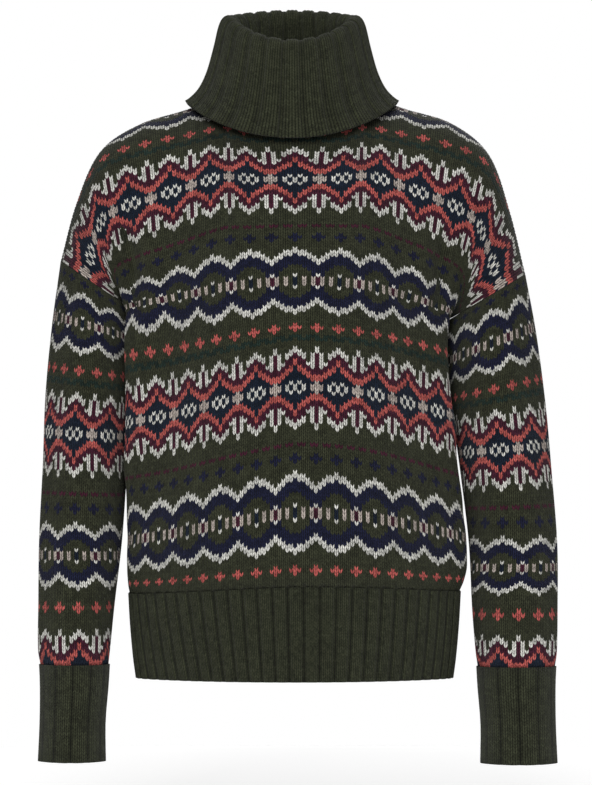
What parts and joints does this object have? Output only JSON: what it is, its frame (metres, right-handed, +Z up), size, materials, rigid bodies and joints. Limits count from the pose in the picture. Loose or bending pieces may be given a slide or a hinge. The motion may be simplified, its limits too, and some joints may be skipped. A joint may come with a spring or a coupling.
{
  "type": "fair isle jumper",
  "caption": "Roll-neck fair isle jumper with drop shoulders and ribbed hem, cuffs and collar, hollow as worn, with the arms down.",
  "frame": {"origin": "on the centre line at shoulder height, where the wearer's shoulders carry the jumper", "axes": "+Z up, +Y towards the wearer's back, +X towards the sleeve at the right as seen from the front"},
  "size_m": [0.5317, 0.2646, 0.7738],
  "materials": {
    "fair_isle": "stranded wool knit in olive, navy, off-white, coral and plum",
    "rib": "olive wool rib"
  },
  "bodies": {
    "root": {"front": "fair_isle", "back": "fair_isle", "sleeve_left": "fair_isle", "sleeve_right": "fair_isle", "cuff_left": "rib", "cuff_right": "rib", "hem_rib_front": "rib", "hem_rib_back": "rib", "collar": "rib"}
  },
  "joints": []
}
